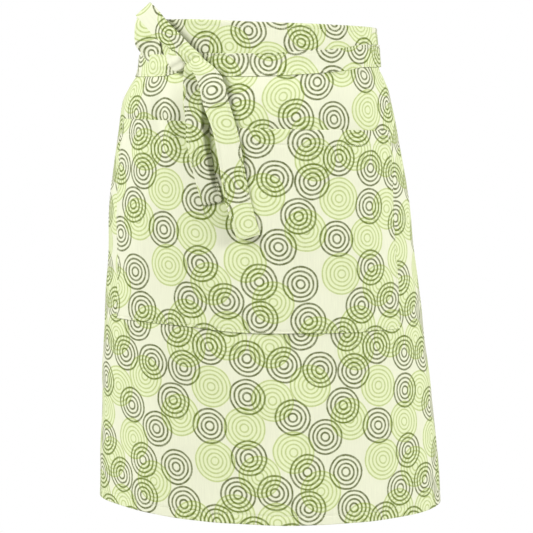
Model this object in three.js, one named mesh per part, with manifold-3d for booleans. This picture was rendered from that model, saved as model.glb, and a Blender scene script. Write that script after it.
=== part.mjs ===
// Waist apron: a half apron of printed cotton as it sits round the waist, tied at the front in a half bow.
// Millimetres, +Z up, the front towards -Y. The origin is the middle of the waist, level with the top edge.
//
// Every piece is drawn on the form that the cloth lies on. A place on it is given by three numbers:
// arc, the distance round from the middle of the front (+X side positive), level, the height against the
// top edge, and off, the distance out from the form's surface.
import * as THREE from 'three';
import { mergeVertices } from 'three/addons/utils/BufferGeometryUtils.js';
import Module from 'manifold-3d';

const wasm = await Module();
wasm.setup();

// Driving sizes
const CLOTH_WIDTH = 660;
const HEM_LEVEL = -602;
const CLOTH = 1.2;
const GAP = 0.5;
const LEVEL_TILT = 0.022;
const SIDE_ROUNDNESS = 0.6;

const BAND_HEIGHT = 50;
const BAND_WALL = 1.0;
const SLOT_GAP = 0.5;
const BAND_SLOT = CLOTH + 2 * SLOT_GAP;
const BAND_FOLD = 1.5;
const SEAM_ALLOWANCE = 12;
const BAND_MIDDLE = -BAND_HEIGHT / 2;

const TIE_WIDTH = 26.5;
const TIE_ROOT_LEVEL = -17;
const TUCK_END = 62;
const TUCK_EASE = 24;
const FOLD_RISE = 40;
const FOLD_KEEP = 60;

const POCKET_LEFT = -200;
const POCKET_RIGHT = 185;
const POCKET_MOUTH = -129;
const POCKET_BOTTOM = -371;
const POCKET_LIFT = 7;
const POCKET_BOTTOM_LIFT = 4.2;
const POCKET_LIFT_FROM = -20;
const POCKET_LIFT_TO = -110;
const POCKET_GAPE = 12;
const POCKET_SEAM_GAP = 0.6;
const POCKET_GAPE_FULL = 0.6;

const KNOT = { arc: -89, level: -54, off: 8.9, long: 21, tall: 15, deep: 6.9, turn: -0.35, fullness: 0.8 };

const PRINTED_COTTON = 0xe9edd0;

// The form that the cloth lies on, one row for each level: half its width, half its depth, and how far its
// middle leans to +X.
const SECTIONS = [
  { level: 0, width: 147, depth: 103, lean: 0 },
  { level: -25, width: 148.75, depth: 104.5, lean: 0.4 },
  { level: -50, width: 150.5, depth: 106, lean: 0.8 },
  { level: -65, width: 154.3, depth: 109.5, lean: 2.4 },
  { level: -80, width: 162, depth: 114.5, lean: -0.2 },
  { level: -100, width: 168, depth: 118.5, lean: -0.6 },
  { level: -140, width: 176.5, depth: 122, lean: 0 },
  { level: -200, width: 185.5, depth: 126, lean: 1.2 },
  { level: -300, width: 196, depth: 131, lean: 4.8 },
  { level: -400, width: 205.5, depth: 136, lean: 7.3 },
  { level: -500, width: 213.5, depth: 141, lean: 11.4 },
  { level: -620, width: 221, depth: 147, lean: 14.5 },
];

// Folds of the skirt, one row for each: where it starts below the tie, how far it drifts round for each
// millimetre down, the level where it has died away, half its width, and its height.
const FOLDS = [
  { arc: -176, drift: -0.05, top: -68, end: -240, width: 20, height: 4 },
  { arc: -150, drift: -0.12, top: -68, end: -170, width: 11, height: -3 },
  { arc: -128, drift: -0.1, top: -68, end: -190, width: 15, height: 4 },
  { arc: -30, drift: 0.1, top: -68, end: -160, width: 20, height: 2 },
  { arc: 62, drift: 0.1, top: -64, end: -180, width: 22, height: 2.5 },
  { arc: 128, drift: 0.12, top: -58, end: -210, width: 22, height: 3 },
  { arc: -322, drift: 0, top: -70, end: -900, width: 17, height: 8 },
  { arc: -284, drift: 0, top: -70, end: -520, width: 17, height: -5 },
  { arc: 320, drift: 0, top: -70, end: -900, width: 18, height: 9 },
  { arc: 280, drift: 0, top: -70, end: -500, width: 18, height: -5 },
];

// The ties' ways round the waist, a row for each place: the share of the way round from the front (right
// side 0.25, back 0.5, left side 0.75), the middle's level, and how far the inner face lies off the form.
const TIE_IN_SLOT = -BAND_WALL - SLOT_GAP - CLOTH;
const TIE_ON_BAND = GAP;
const TIE_FRONT_WAY = [
  { share: -0.112, level: -55, off: TIE_ON_BAND },
  { share: -0.011, level: -53.5, off: TIE_ON_BAND },
  { share: 0.033, level: -51.5, off: TIE_ON_BAND },
  { share: 0.138, level: -43.5, off: TIE_ON_BAND },
  { share: 0.173, level: -39, off: TIE_ON_BAND },
  { share: 0.25, level: -37, off: TIE_ON_BAND },
  { share: 0.38, level: -43.5, off: TIE_ON_BAND },
  { share: 0.432, level: -45.5, off: TIE_ON_BAND },
  { share: 0.468, level: -45, off: TIE_IN_SLOT },
  { share: 0.5, level: -37, off: TIE_IN_SLOT },
  { share: 0.55, level: -21, off: TIE_IN_SLOT },
  { share: 0.582, level: TIE_ROOT_LEVEL, off: TIE_IN_SLOT },
  { share: 0.612, level: TIE_ROOT_LEVEL, off: TIE_IN_SLOT },
];
const TIE_SIDE_WAY = [
  { share: 0.388, level: TIE_ROOT_LEVEL, off: TIE_IN_SLOT },
  { share: 0.42, level: TIE_ROOT_LEVEL, off: TIE_IN_SLOT },
  { share: 0.458, level: TIE_ROOT_LEVEL - 0.5, off: -1 },
  { share: 0.5, level: -25, off: 0 },
  { share: 0.55, level: -42, off: TIE_ON_BAND },
  { share: 0.6, level: -49, off: TIE_ON_BAND },
  { share: 0.68, level: -53, off: TIE_ON_BAND },
  { share: 0.75, level: -56, off: TIE_ON_BAND },
  { share: 0.8, level: -56, off: TIE_ON_BAND },
  { share: 0.88, level: -55.5, off: TIE_ON_BAND },
];

// Straps of the half bow, a row for each station from the knot: the middle's place on the form, the slant of
// the width against level in degrees, the width, how far the edges bend back to the form, and how much
// nearer to the form the +X edge lies than the middle.
const LOOP_WAY = [
  { arc: -88, level: -46, off: 10.5, slant: 49, width: 18, curl: 1, bank: 0 },
  { arc: -99, level: -34, off: 13, slant: 49, width: 23, curl: 1.5, bank: 0 },
  { arc: -117, level: -14, off: 15, slant: 48, width: 27, curl: 1, bank: 0 },
  { arc: -136, level: 3, off: 15.5, slant: 42, width: 28, curl: 0.5, bank: 0 },
  { arc: -148, level: 11.5, off: 14.5, slant: 32, width: 28.5, curl: 0, bank: 0.5 },
  { arc: -151, level: 12.5, off: 11.5, slant: 29, width: 28.5, curl: 0, bank: 1 },
  { arc: -152, level: 7, off: 9.5, slant: 22, width: 29, curl: 0, bank: 2 },
  { arc: -150, level: -9, off: 8.8, slant: 14, width: 30, curl: -0.5, bank: 3.5 },
  { arc: -144.5, level: -27, off: 8, slant: 24, width: 31, curl: -1, bank: 4 },
  { arc: -131, level: -41, off: 7, slant: 42, width: 25, curl: -1, bank: 2 },
  { arc: -114, level: -48.5, off: 7, slant: 58, width: 17, curl: -1, bank: 0 },
  { arc: -96, level: -52, off: 8, slant: 62, width: 14, curl: -1, bank: 0 },
];
const TAIL_SHORT_WAY = [
  { arc: -84, level: -56, off: 7, slant: 0, width: 16, curl: 1, bank: 0 },
  { arc: -75, level: -78, off: 9, slant: 4, width: 22, curl: 2, bank: 0 },
  { arc: -72, level: -104, off: 13, slant: 1, width: 25, curl: 2, bank: 0 },
  { arc: -70, level: -132, off: 15.8, slant: 3, width: 26, curl: 1.2, bank: 0 },
  { arc: -64.5, level: -166, off: 15.7, slant: 12, width: 26, curl: 0.8, bank: 0 },
  { arc: -57.5, level: -196, off: 15, slant: 13, width: 26, curl: 0.5, bank: 0 },
  { arc: -52, level: -217, off: 14.7, slant: 14, width: 26, curl: 0.4, bank: 0 },
];
const TAIL_LONG_WAY = [
  { arc: -76, level: -54, off: 11, slant: 32, width: 17, curl: 1, bank: 0 },
  { arc: -57, level: -78, off: 14, slant: 26, width: 24, curl: 2.5, bank: 0 },
  { arc: -44.5, level: -104, off: 17.5, slant: 16, width: 26, curl: 2.5, bank: 0 },
  { arc: -38, level: -136, off: 19.4, slant: 10, width: 26, curl: 2, bank: 0 },
  { arc: -32, level: -172, off: 19.2, slant: 11, width: 27, curl: 1.6, bank: 0 },
  { arc: -24.5, level: -212, off: 18.2, slant: 14, width: 27, curl: 1.2, bank: 0 },
  { arc: -12.5, level: -257, off: 17, slant: 17, width: 27, curl: 0.8, bank: 0 },
];

// Mesh steps
const ROUND_STEPS = 72;
const SKIRT_ROWS = 16;
const SKIRT_ROW_SPREAD = 1.78;
const POCKET_STEPS = { round: 32, down: 6 };
const TIE_STEP = 8;
const TIE_ROWS = 3;
const STRAP_ROWS = 4;
const LOOP_STEPS = 32;
const TAIL_STEPS = 14;
const KNOT_STEPS = { round: 18, down: 10 };
const SLOPE_STEP = 0.01;

// A smooth curve through one column of a table that never swings past its rows, read by another column.
function column(table, key, name) {
  const rows = [...table].sort((a, b) => a[key] - b[key]);
  const rise = rows.slice(1).map((row, i) => (row[name] - rows[i][name]) / (row[key] - rows[i][key]));
  const slope = rows.map((row, i) => {
    const before = rise[Math.max(i - 1, 0)];
    const after = rise[Math.min(i, rise.length - 1)];
    return before * after > 0 ? (2 * before * after) / (before + after) : 0;
  });
  return (at) => {
    const place = THREE.MathUtils.clamp(at, rows[0][key], rows.at(-1)[key]);
    const i = Math.max(0, rows.findIndex((row, n) => n > 0 && place <= row[key]) - 1);
    const span = rows[i + 1][key] - rows[i][key];
    const t = (place - rows[i][key]) / span;
    const start = (1 + 2 * t) * (1 - t) ** 2 * rows[i][name] + t * (1 - t) ** 2 * span * slope[i];
    const end = t * t * (3 - 2 * t) * rows[i + 1][name] + t * t * (t - 1) * span * slope[i + 1];
    return start + end;
  };
}

const halfWidth = column(SECTIONS, 'level', 'width');
const halfDepth = column(SECTIONS, 'level', 'depth');
const lean = column(SECTIONS, 'level', 'lean');

// The form's section at one level: an oval of a front and a back arc joined by two tighter side arcs.
function oval(level) {
  const width = halfWidth(level);
  const depth = halfDepth(level);
  const side = SIDE_ROUNDNESS * depth;
  const front = ((width - side) ** 2 + depth ** 2 - side ** 2) / (2 * (depth - side));
  const turn = Math.atan2(width - side, front - depth);
  const frontLength = front * turn;
  const sideLength = side * (Math.PI - 2 * turn);
  return { width, depth, side, front, turn, frontLength, sideLength, round: 4 * frontLength + 2 * sideLength };
}

// The point at arc, level and off. The arcs share one formula: a centre, a radius and an angle from the front.
function onForm(arc, level, off) {
  const o = oval(level);
  const lap = arc - o.round * Math.round(arc / o.round);
  const far = Math.abs(lap);
  let [angle, radius, centreX, centreY] = [far / o.front, o.front, 0, o.front - o.depth];
  if (far > o.frontLength) {
    [angle, radius, centreX, centreY] = [o.turn + (far - o.frontLength) / o.side, o.side, o.width - o.side, 0];
  }
  const pastSide = far - o.frontLength - o.sideLength;
  if (pastSide > 0) {
    [angle, radius, centreX, centreY] = [Math.PI - o.turn + pastSide / o.front, o.front, 0, o.depth - o.front];
  }
  const x = lean(level) + Math.sign(lap || 1) * (centreX + (radius + off) * Math.sin(angle));
  const y = centreY - (radius + off) * Math.cos(angle);
  return new THREE.Vector3(x, y, level - LEVEL_TILT * x);
}

// How far the skirt's outer face lies off the form: tucked in under the band, then out with its folds.
function skirtFace(arc, level) {
  const tuck = BAND_WALL + SLOT_GAP;
  const out = THREE.MathUtils.smoothstep(-level, TUCK_END, TUCK_END + TUCK_EASE);
  const folds = FOLDS.reduce((sum, fold) => {
    const aside = (arc - fold.arc - fold.drift * (fold.top - level)) / fold.width;
    const grown = THREE.MathUtils.smoothstep(fold.top - level, 0, FOLD_RISE);
    const left = 1 - THREE.MathUtils.smoothstep(fold.top - level, FOLD_KEEP, fold.top - fold.end);
    return sum + fold.height * Math.exp(-aside * aside) * grown * left;
  }, 0);
  return folds - tuck * (1 - out);
}

// The pocket's own edges: its mouth and bottom stand a little higher towards the knot's side.
const pocketRise = (arc) => THREE.MathUtils.smoothstep(-arc, -POCKET_LIFT_FROM, -POCKET_LIFT_TO);
const pocketMouth = (arc) => POCKET_MOUTH + POCKET_LIFT * pocketRise(arc);
const pocketBottom = (arc) => POCKET_BOTTOM + POCKET_BOTTOM_LIFT * pocketRise(arc);

// How far the pocket's inner face stands off the skirt: sewn down at its sides and bottom, gaping at the mouth.
function pocketStand(across, up) {
  const gape = (1 - (2 * across - 1) ** 2) * THREE.MathUtils.smoothstep(up, 0, POCKET_GAPE_FULL);
  return POCKET_SEAM_GAP + POCKET_GAPE * gape;
}

// A geometry from points and triangles, turned so that its faces point out.
function solid(points, triangles) {
  const volume = triangles.reduce((sum, [a, b, c]) => {
    return sum + points[a].dot(new THREE.Vector3().crossVectors(points[b], points[c]));
  }, 0);
  const faces = volume < 0 ? triangles.map(([a, b, c]) => [a, c, b]) : triangles;
  const geometry = new THREE.BufferGeometry().setFromPoints(points);
  geometry.setIndex(faces.flat());
  return geometry;
}

// Two triangles of a four-cornered face.
const quad = (a, b, c, d) => [[a, b, c], [a, c, d]];

// A closed sheet: an outer and an inner face of the same steps, joined along the four edges.
// face(u, v, side) gives a point, with u and v from 0 to 1 and side 0 outside and 1 inside.
function sheet(steps, rows, face) {
  const points = [];
  for (const side of [0, 1]) {
    for (let i = 0; i <= steps; i += 1) {
      for (let j = 0; j <= rows; j += 1) points.push(face(i / steps, j / rows, side));
    }
  }
  const at = (i, j, side) => (side * (steps + 1) + i) * (rows + 1) + j;
  const triangles = [];
  for (let i = 0; i < steps; i += 1) {
    for (let j = 0; j < rows; j += 1) {
      triangles.push(...quad(at(i, j, 0), at(i + 1, j, 0), at(i + 1, j + 1, 0), at(i, j + 1, 0)));
      triangles.push(...quad(at(i, j, 1), at(i, j + 1, 1), at(i + 1, j + 1, 1), at(i + 1, j, 1)));
    }
  }
  for (let i = 0; i < steps; i += 1) {
    triangles.push(...quad(at(i, 0, 0), at(i, 0, 1), at(i + 1, 0, 1), at(i + 1, 0, 0)));
    triangles.push(...quad(at(i, rows, 0), at(i + 1, rows, 0), at(i + 1, rows, 1), at(i, rows, 1)));
  }
  for (let j = 0; j < rows; j += 1) {
    triangles.push(...quad(at(0, j, 0), at(0, j + 1, 0), at(0, j + 1, 1), at(0, j, 1)));
    triangles.push(...quad(at(steps, j, 0), at(steps, j, 1), at(steps, j + 1, 1), at(steps, j + 1, 0)));
  }
  return solid(points, triangles);
}

function skirtPanel() {
  const top = -BAND_HEIGHT + SEAM_ALLOWANCE;
  return sheet(ROUND_STEPS, SKIRT_ROWS, (u, v, side) => {
    const arc = CLOTH_WIDTH * (u - 0.5);
    const level = THREE.MathUtils.lerp(top, HEM_LEVEL, v ** SKIRT_ROW_SPREAD);
    return onForm(arc, level, skirtFace(arc, level) - side * CLOTH);
  });
}

function pocket() {
  return sheet(POCKET_STEPS.round, POCKET_STEPS.down, (u, v, side) => {
    const arc = THREE.MathUtils.lerp(POCKET_LEFT, POCKET_RIGHT, u);
    const level = THREE.MathUtils.lerp(pocketBottom(arc), pocketMouth(arc), v);
    return onForm(arc, level, skirtFace(arc, level) + pocketStand(u, v) + (1 - side) * CLOTH);
  });
}

// The band's section, an upside-down U of off and level, carried round from one back end to the other.
function waistband() {
  const inner = -2 * BAND_WALL - BAND_SLOT;
  const section = [
    [0, -BAND_HEIGHT], [0, -BAND_FOLD], [inner / 4, 0], [(3 * inner) / 4, 0], [inner, -BAND_FOLD],
    [inner, -BAND_HEIGHT], [inner + BAND_WALL, -BAND_HEIGHT], [inner + BAND_WALL, -2 * BAND_FOLD],
    [-BAND_WALL, -2 * BAND_FOLD], [-BAND_WALL, -BAND_HEIGHT],
  ].map(([off, level]) => ({ off, level }));
  const corners = section.length;
  const reach = CLOTH_WIDTH / 2 / oval(BAND_MIDDLE).round;
  const points = [];
  for (let i = 0; i <= ROUND_STEPS; i += 1) {
    const share = THREE.MathUtils.lerp(-reach, reach, i / ROUND_STEPS);
    for (const { off, level } of section) points.push(onForm(share * oval(level).round, level, off));
  }
  const triangles = [];
  for (let i = 0; i < ROUND_STEPS; i += 1) {
    for (let j = 0; j < corners; j += 1) {
      const [near, next] = [i * corners + j, i * corners + ((j + 1) % corners)];
      triangles.push(...quad(near, near + corners, next + corners, next));
    }
  }
  const outline = section.map(({ off, level }) => new THREE.Vector2(off, level));
  const cap = THREE.ShapeUtils.triangulateShape(outline, []);
  const last = ROUND_STEPS * corners;
  const facing = THREE.ShapeUtils.isClockWise(outline) ? -1 : 1;
  for (const [a, b, c] of cap) {
    const [left, right] = facing > 0 ? [b, c] : [c, b];
    triangles.push([a, left, right], [last + a, last + right, last + left]);
  }
  return solid(points, triangles);
}

// A tie lying flat on the form along its way round.
function tie(way) {
  const level = column(way, 'share', 'level');
  const off = column(way, 'share', 'off');
  const [from, to] = [way[0].share, way.at(-1).share];
  const steps = Math.round(((to - from) * oval(BAND_MIDDLE).round) / TIE_STEP);
  return sheet(steps, TIE_ROWS, (u, v, side) => {
    const share = THREE.MathUtils.lerp(from, to, u);
    const height = level(share) + TIE_WIDTH * (v - 0.5);
    return onForm(share * oval(height).round, height, off(share) + (1 - side) * CLOTH);
  });
}

// A strap along its stations. Half its thickness goes to each side of the surface, square to it.
function strap(way, steps) {
  const rows = way.map((row, at) => ({ ...row, at }));
  const read = Object.fromEntries(Object.keys(way[0]).map((name) => [name, column(rows, 'at', name)]));
  const middle = (at, across) => {
    const slant = THREE.MathUtils.degToRad(read.slant(at));
    const aside = (across * read.width(at)) / 2;
    const arc = read.arc(at) + aside * Math.cos(slant);
    const level = read.level(at) + aside * Math.sin(slant);
    const off = read.off(at) - read.curl(at) * across * across - read.bank(at) * across;
    return new THREE.Vector3(arc, level, off);
  };
  return sheet(steps, STRAP_ROWS, (u, v, side) => {
    const at = u * (way.length - 1);
    const across = 2 * v - 1;
    const along = middle(at + SLOPE_STEP, across).sub(middle(at - SLOPE_STEP, across));
    const over = middle(at, across + SLOPE_STEP).sub(middle(at, across - SLOPE_STEP));
    const square = along.cross(over).normalize().multiplyScalar(CLOTH * (0.5 - side));
    const place = middle(at, across).add(square);
    return onForm(place.x, place.y, place.z);
  });
}

// The knot: a full, flattened ball on the form, grown on all sides where a strap is cut to meet it.
function knot(grow) {
  const ball = new THREE.SphereGeometry(1, KNOT_STEPS.round, KNOT_STEPS.down);
  const full = (t) => Math.sign(t) * Math.abs(t) ** KNOT.fullness;
  const spots = ball.getAttribute('position');
  for (let i = 0; i < spots.count; i += 1) {
    const aside = full(spots.getX(i)) * (KNOT.long + grow);
    const up = full(spots.getY(i)) * (KNOT.tall + grow);
    const arc = KNOT.arc + aside * Math.cos(KNOT.turn) - up * Math.sin(KNOT.turn);
    const level = KNOT.level + aside * Math.sin(KNOT.turn) + up * Math.cos(KNOT.turn);
    const point = onForm(arc, level, KNOT.off + full(spots.getZ(i)) * (KNOT.deep + grow));
    spots.setXYZ(i, point.x, point.y, point.z);
  }
  ball.deleteAttribute('normal');
  ball.deleteAttribute('uv');
  return mergeVertices(ball);
}

function toManifold(geometry) {
  const vertProperties = new Float32Array(geometry.getAttribute('position').array);
  const triVerts = new Uint32Array(geometry.getIndex().array);
  return new wasm.Manifold(new wasm.Mesh({ numProp: 3, vertProperties, triVerts }));
}

function fromManifold(shape) {
  const mesh = shape.getMesh();
  const geometry = new THREE.BufferGeometry();
  geometry.setAttribute('position', new THREE.BufferAttribute(mesh.vertProperties, 3));
  geometry.setIndex(new THREE.BufferAttribute(mesh.triVerts, 1));
  return geometry;
}

// A strap of the bow, cut back to the knot with the usual gap.
const tiedStrap = (way, steps) => fromManifold(toManifold(strap(way, steps)).subtract(toManifold(knot(GAP))));

function piece(name, geometry) {
  const material = new THREE.MeshStandardMaterial({ color: PRINTED_COTTON, roughness: 0.9, metalness: 0 });
  const mesh = new THREE.Mesh(geometry, material);
  mesh.name = name;
  return mesh;
}

const apron = new THREE.Group();
apron.add(
  piece('skirt_panel', skirtPanel()),
  piece('pocket', pocket()),
  piece('waistband', waistband()),
  piece('tie_front', tie(TIE_FRONT_WAY)),
  piece('tie_side', tie(TIE_SIDE_WAY)),
  piece('bow_knot', knot(0)),
  piece('bow_loop', tiedStrap(LOOP_WAY, LOOP_STEPS)),
  piece('tail_short', tiedStrap(TAIL_SHORT_WAY, TAIL_STEPS)),
  piece('tail_long', tiedStrap(TAIL_LONG_WAY, TAIL_STEPS)),
);

export default apron;
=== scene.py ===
"""Half apron of printed cotton, tied at the front in a half bow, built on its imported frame.

Every cloth piece is drawn on the form that it lies on. A place on it is given in millimetres by three
numbers: arc, the way round from the middle of the front (+X side positive), level, the height against the
top edge, and off, the distance out from the form. The meshes are in metres, in the frame's own axes.
"""

import math

import bpy
import numpy as np
from bpy.props import FloatProperty, FloatVectorProperty, IntProperty, PointerProperty
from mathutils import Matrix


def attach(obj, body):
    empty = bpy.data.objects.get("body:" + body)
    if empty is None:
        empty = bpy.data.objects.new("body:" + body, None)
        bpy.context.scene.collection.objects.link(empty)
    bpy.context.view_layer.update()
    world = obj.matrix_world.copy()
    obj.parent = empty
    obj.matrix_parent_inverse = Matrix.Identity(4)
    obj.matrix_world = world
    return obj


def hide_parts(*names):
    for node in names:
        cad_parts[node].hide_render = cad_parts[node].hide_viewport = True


bl_info = {
    "name": "Waist apron",
    "version": (1, 0, 0),
    "blender": (4, 5, 0),
    "location": "View3D > Sidebar > Apron",
    "description": "Builds a half apron of printed cotton, tied at the front, on its packed frame",
    "category": "Add Mesh",
}

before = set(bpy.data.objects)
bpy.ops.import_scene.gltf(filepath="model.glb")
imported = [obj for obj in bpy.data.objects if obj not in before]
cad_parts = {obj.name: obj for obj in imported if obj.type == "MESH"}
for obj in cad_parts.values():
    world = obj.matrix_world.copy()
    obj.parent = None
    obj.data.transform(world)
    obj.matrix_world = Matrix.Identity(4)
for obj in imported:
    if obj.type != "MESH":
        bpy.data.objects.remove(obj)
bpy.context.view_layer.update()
BODY = "root"
CLOTH_MAP = "cloth"
MM = 0.001

# Driving sizes, in millimetres or as shares, as the solids have them
CLOTH_WIDTH = 660.0
HEM_LEVEL = -602.0
LEVEL_TILT = 0.022
SIDE_ROUNDNESS = 0.6
FOLD_RISE = 40.0
FOLD_KEEP = 60.0
BAND_HEIGHT = 50.0
BAND_MIDDLE = -BAND_HEIGHT / 2
BAND_WALL = 1.0
SEAM_ALLOWANCE = 12.0
TIE_WIDTH = 26.5
TIE_THICKNESS = 1.2
TIE_ROOT_LEVEL = -17.0
POCKET_LEFT = -200.0
POCKET_RIGHT = 185.0
POCKET_MOUTH = -129.0
POCKET_BOTTOM = -371.0
POCKET_LIFT = 7.0
POCKET_BOTTOM_LIFT = 4.2
POCKET_LIFT_ARCS = (20.0, 110.0)
POCKET_GAPE_FULL = 0.6

# Skirt: how far its top is tucked in under the band, the way down over which it comes out from there, and
# the way down over which its turned edges grow to their full thickness
SKIRT_TUCK = 1.5
TUCK_OUT = (54.0, 66.0)
EDGES_THICKEN = (62.0, 70.0)

# Turned hems: how soon the inner layer ends past the seam, and the share of a layer that it adds inside
HEM_EASE = 1.5
SKIRT_HEM_LAYER = 0.9
MOUTH_HEM_LAYER = 0.4

# Pocket: its clearance off the skirt, where the tails press its gape flat, how far round and how much, and
# the bar tacks at its mouth, with the step between their rows and the shares of the height that they span
POCKET_CLEAR = 1.0
PRESS_ARC = -42.0
PRESS_REACH = 60.0
PRESS_SHARE = 0.75
TACK_ROWS = 3
TACK_STEP = 0.616
TACK_SPAN = (0.945, 0.998)

# Waistband: the outside radius of its fold, the sag of its top edge and the arcs over which it grows, the
# topstitched row's distance below the fold and its shift along (so that its puckers don't stand over the
# lower row's), how much of a seam's relief the double cloth takes, how far the outer wall is pressed in, the
# one upright crease in it, and how far the mesh's rows on the fold reach to both sides
BAND_OUTSIDE_TURN = 2.1
BAND_SAG = 2.6
BAND_SAG_ARCS = (-110.0, 30.0)
TOPSTITCH = 7.5
TOPSTITCH_SHIFT = 40.0
BAND_SEAM_SHARE = 0.8
BAND_PRESS = 0.25
BAND_CREASE = {"height": 0.9, "arc": -21.0, "drift": 0.1, "reach": 3.2, "down": (16.0, 44.0)}
BAND_FOLD_ROWS = 2.2

# Ties: the height of each one's gathers at the knot, how far these reach along it, their waves across the
# width, the uneven lie along the way, how thin the sewn edges are, how much of a seam's relief the double
# cloth takes, and the part of the width over which the strip rises to the knot
TIE_GATHERS = {"tie_front": 0.35, "tie_side": 1.1}
GATHER_REACH = 34.0
GATHER_WAVES = 3.2
GATHER_PHASE = 0.15
TIE_WAVER = {"height": 0.15, "short": 14.0, "long": 37.0, "skew": 3.0}
EDGE_THINNING = 0.3
EDGE_THINNING_REACH = 2.2
TIE_SEAM_SHARE = 0.7
TIE_RISE_ACROSS = (-0.5, 0.1)

# How close the mesh's rows lie along the ties and along the straps of the bow
TIE_STEP = 2.0
STRAP_STEP = 1.5


def table(columns, *rows):
    """Rows of numbers as one array for each named column."""
    return dict(zip(columns.split(), np.array(rows, float).T))


# The form under the cloth: half its width and depth at each level, and how far its middle leans to +X
FORM = table(
    "level width depth lean",
    (-620, 221, 147, 17),
    (-500, 213.5, 141, 12.8),
    (-400, 205.5, 136, 7.3),
    (-300, 196, 131, 4.8),
    (-200, 185.5, 126, 1.2),
    (-140, 175.5, 122, 1.2),
    (-100, 169, 118.5, -0.6),
    (-80, 162, 114.5, 2.2),
    (-65, 154.3, 109.5, 3.6),
    (-50, 150.5, 106, 2.4),
    (-25, 148.75, 104.5, 2.2),
    (0, 147, 103, 1.8),
)

# Folds of the skirt: where each starts below the tie, its drift round for each millimetre down, the levels
# where it starts and has died away, half its width, and its height
FOLDS = table(
    "arc drift top end width height",
    (-150, -0.08, -66, -230, 18, 4),
    (-128, 0.06, -66, -165, 8, -3),
    (-109, 0.02, -66, -190, 13, 3.5),
    (-30, 0.1, -68, -160, 20, 2),
    (62, 0.1, -64, -180, 22, 2.5),
    (128, 0.12, -58, -210, 22, 3),
    (-322, 0, -70, -900, 17, 8),
    (-284, 0, -70, -520, 17, -5),
    (320, 0, -70, -900, 18, 9),
    (280, 0, -70, -500, 18, -5),
)

# Slow waves of hanging cotton: the length of one wave round and down, its height, and where it starts
RIPPLES = table(
    "round down height phase",
    (150, 620, 0.8, 0.3),
    (-96, 330, 0.5, 1.9),
    (64, -240, 0.3, 4.2),
    (260, 105, 0.45, 2.7),
    (-47, 82, 0.14, 0.9),
)
RIPPLE_FROM = 72.0
RIPPLE_FULL = 130.0

# The ties' ways round the waist: the share of the way round from the front (right side 0.25, back 0.5, left
# side 0.75), the middle's level, how far the inner face lies off the form, and the gathered width
IN_SLOT = -2.7
ON_BAND = 0.5
TIE_FRONT_WAY = table(
    "share level off width",
    (-0.112, -55, ON_BAND, TIE_WIDTH),
    (-0.011, -53.5, ON_BAND, TIE_WIDTH),
    (0.033, -51.5, ON_BAND, TIE_WIDTH),
    (0.138, -43.5, ON_BAND, TIE_WIDTH),
    (0.173, -39, ON_BAND, TIE_WIDTH),
    (0.25, -37, ON_BAND, TIE_WIDTH),
    (0.38, -43.5, ON_BAND, TIE_WIDTH),
    (0.432, -45.5, ON_BAND, TIE_WIDTH),
    (0.468, -45, IN_SLOT, TIE_WIDTH),
    (0.5, -37, IN_SLOT, TIE_WIDTH),
    (0.55, -21, IN_SLOT, TIE_WIDTH),
    (0.582, TIE_ROOT_LEVEL, IN_SLOT, TIE_WIDTH),
    (0.612, TIE_ROOT_LEVEL, IN_SLOT, TIE_WIDTH),
)
TIE_SIDE_WAY = table(
    "share level off width",
    (0.388, TIE_ROOT_LEVEL, IN_SLOT, TIE_WIDTH),
    (0.42, TIE_ROOT_LEVEL, IN_SLOT, TIE_WIDTH),
    (0.458, TIE_ROOT_LEVEL - 0.5, -1, TIE_WIDTH),
    (0.5, -25, 0, TIE_WIDTH),
    (0.55, -42, ON_BAND, TIE_WIDTH),
    (0.6, -49, ON_BAND, TIE_WIDTH),
    (0.68, -53, ON_BAND, TIE_WIDTH),
    (0.75, -56, ON_BAND, TIE_WIDTH),
    (0.795, -56, ON_BAND, TIE_WIDTH),
    (0.822, -56, ON_BAND + 2.4, TIE_WIDTH),
    (0.848, -56, ON_BAND + 3, 24.5),
    (0.868, -55, ON_BAND + 3.6, 19),
    (0.885, -54, ON_BAND + 5, 14),
)

# Straps of the half bow, a row for each station from the knot: the middle's place on the form, the slant of
# the width against level in degrees, the width, how far the edges bend back to the form, and how much
# nearer to the form the +X edge lies than the middle
STRAP_COLUMNS = "arc level off slant width curl bank"
LOOP_WAY = table(
    STRAP_COLUMNS,
    (-76, -48.5, 11.6, 31, 20.5, 1, 0),
    (-80.5, -44.5, 13.6, 37, 20, 1.6, 0),
    (-87.5, -38.5, 14.7, 43, 20, 1.8, 0),
    (-98, -28.5, 15, 49, 21.5, 1.4, 0),
    (-118, -13, 15.4, 48, 26, 1, 0),
    (-136, 3, 15.5, 42, 28, 0.5, 0),
    (-148, 11.5, 14.5, 32, 28.5, 0, 0.5),
    (-151, 12.5, 11.5, 29, 28.5, 0, 1),
    (-152, 7, 9.5, 22, 29, 0, 2),
    (-154, -8, 8, 12, 30, -0.5, 4),
    (-151.5, -26, 6.4, 12, 36, -0.5, 4.5),
    (-146, -41, 2.4, 22, 32, 0, 0.5),
    (-134, -52, 1.9, 38, 20, 0, 0),
    (-118, -57, 1.9, 55, 14, 0, 0),
)
TAIL_SHORT_WAY = table(
    STRAP_COLUMNS,
    (-80.5, -52, 4, 0, 17, 0, 2),
    (-79.5, -63, 7, 2, 19, -0.5, 5),
    (-76.5, -77, 7.8, 3, 22, -0.5, 5.4),
    (-72.5, -93, 9.6, 2, 25.5, 0, 3.6),
    (-69.5, -114, 13.4, 1, 27, 1, 0),
    (-69, -140, 15, 3, 26.5, 1, 0),
    (-65.5, -164, 14.8, 8, 24.5, 0.8, 0),
    (-60.5, -190, 11.5, 11, 24, 0.5, 0),
    (-53.5, -218, 6.4, 14, 25, 0.4, 0),
)
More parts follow.
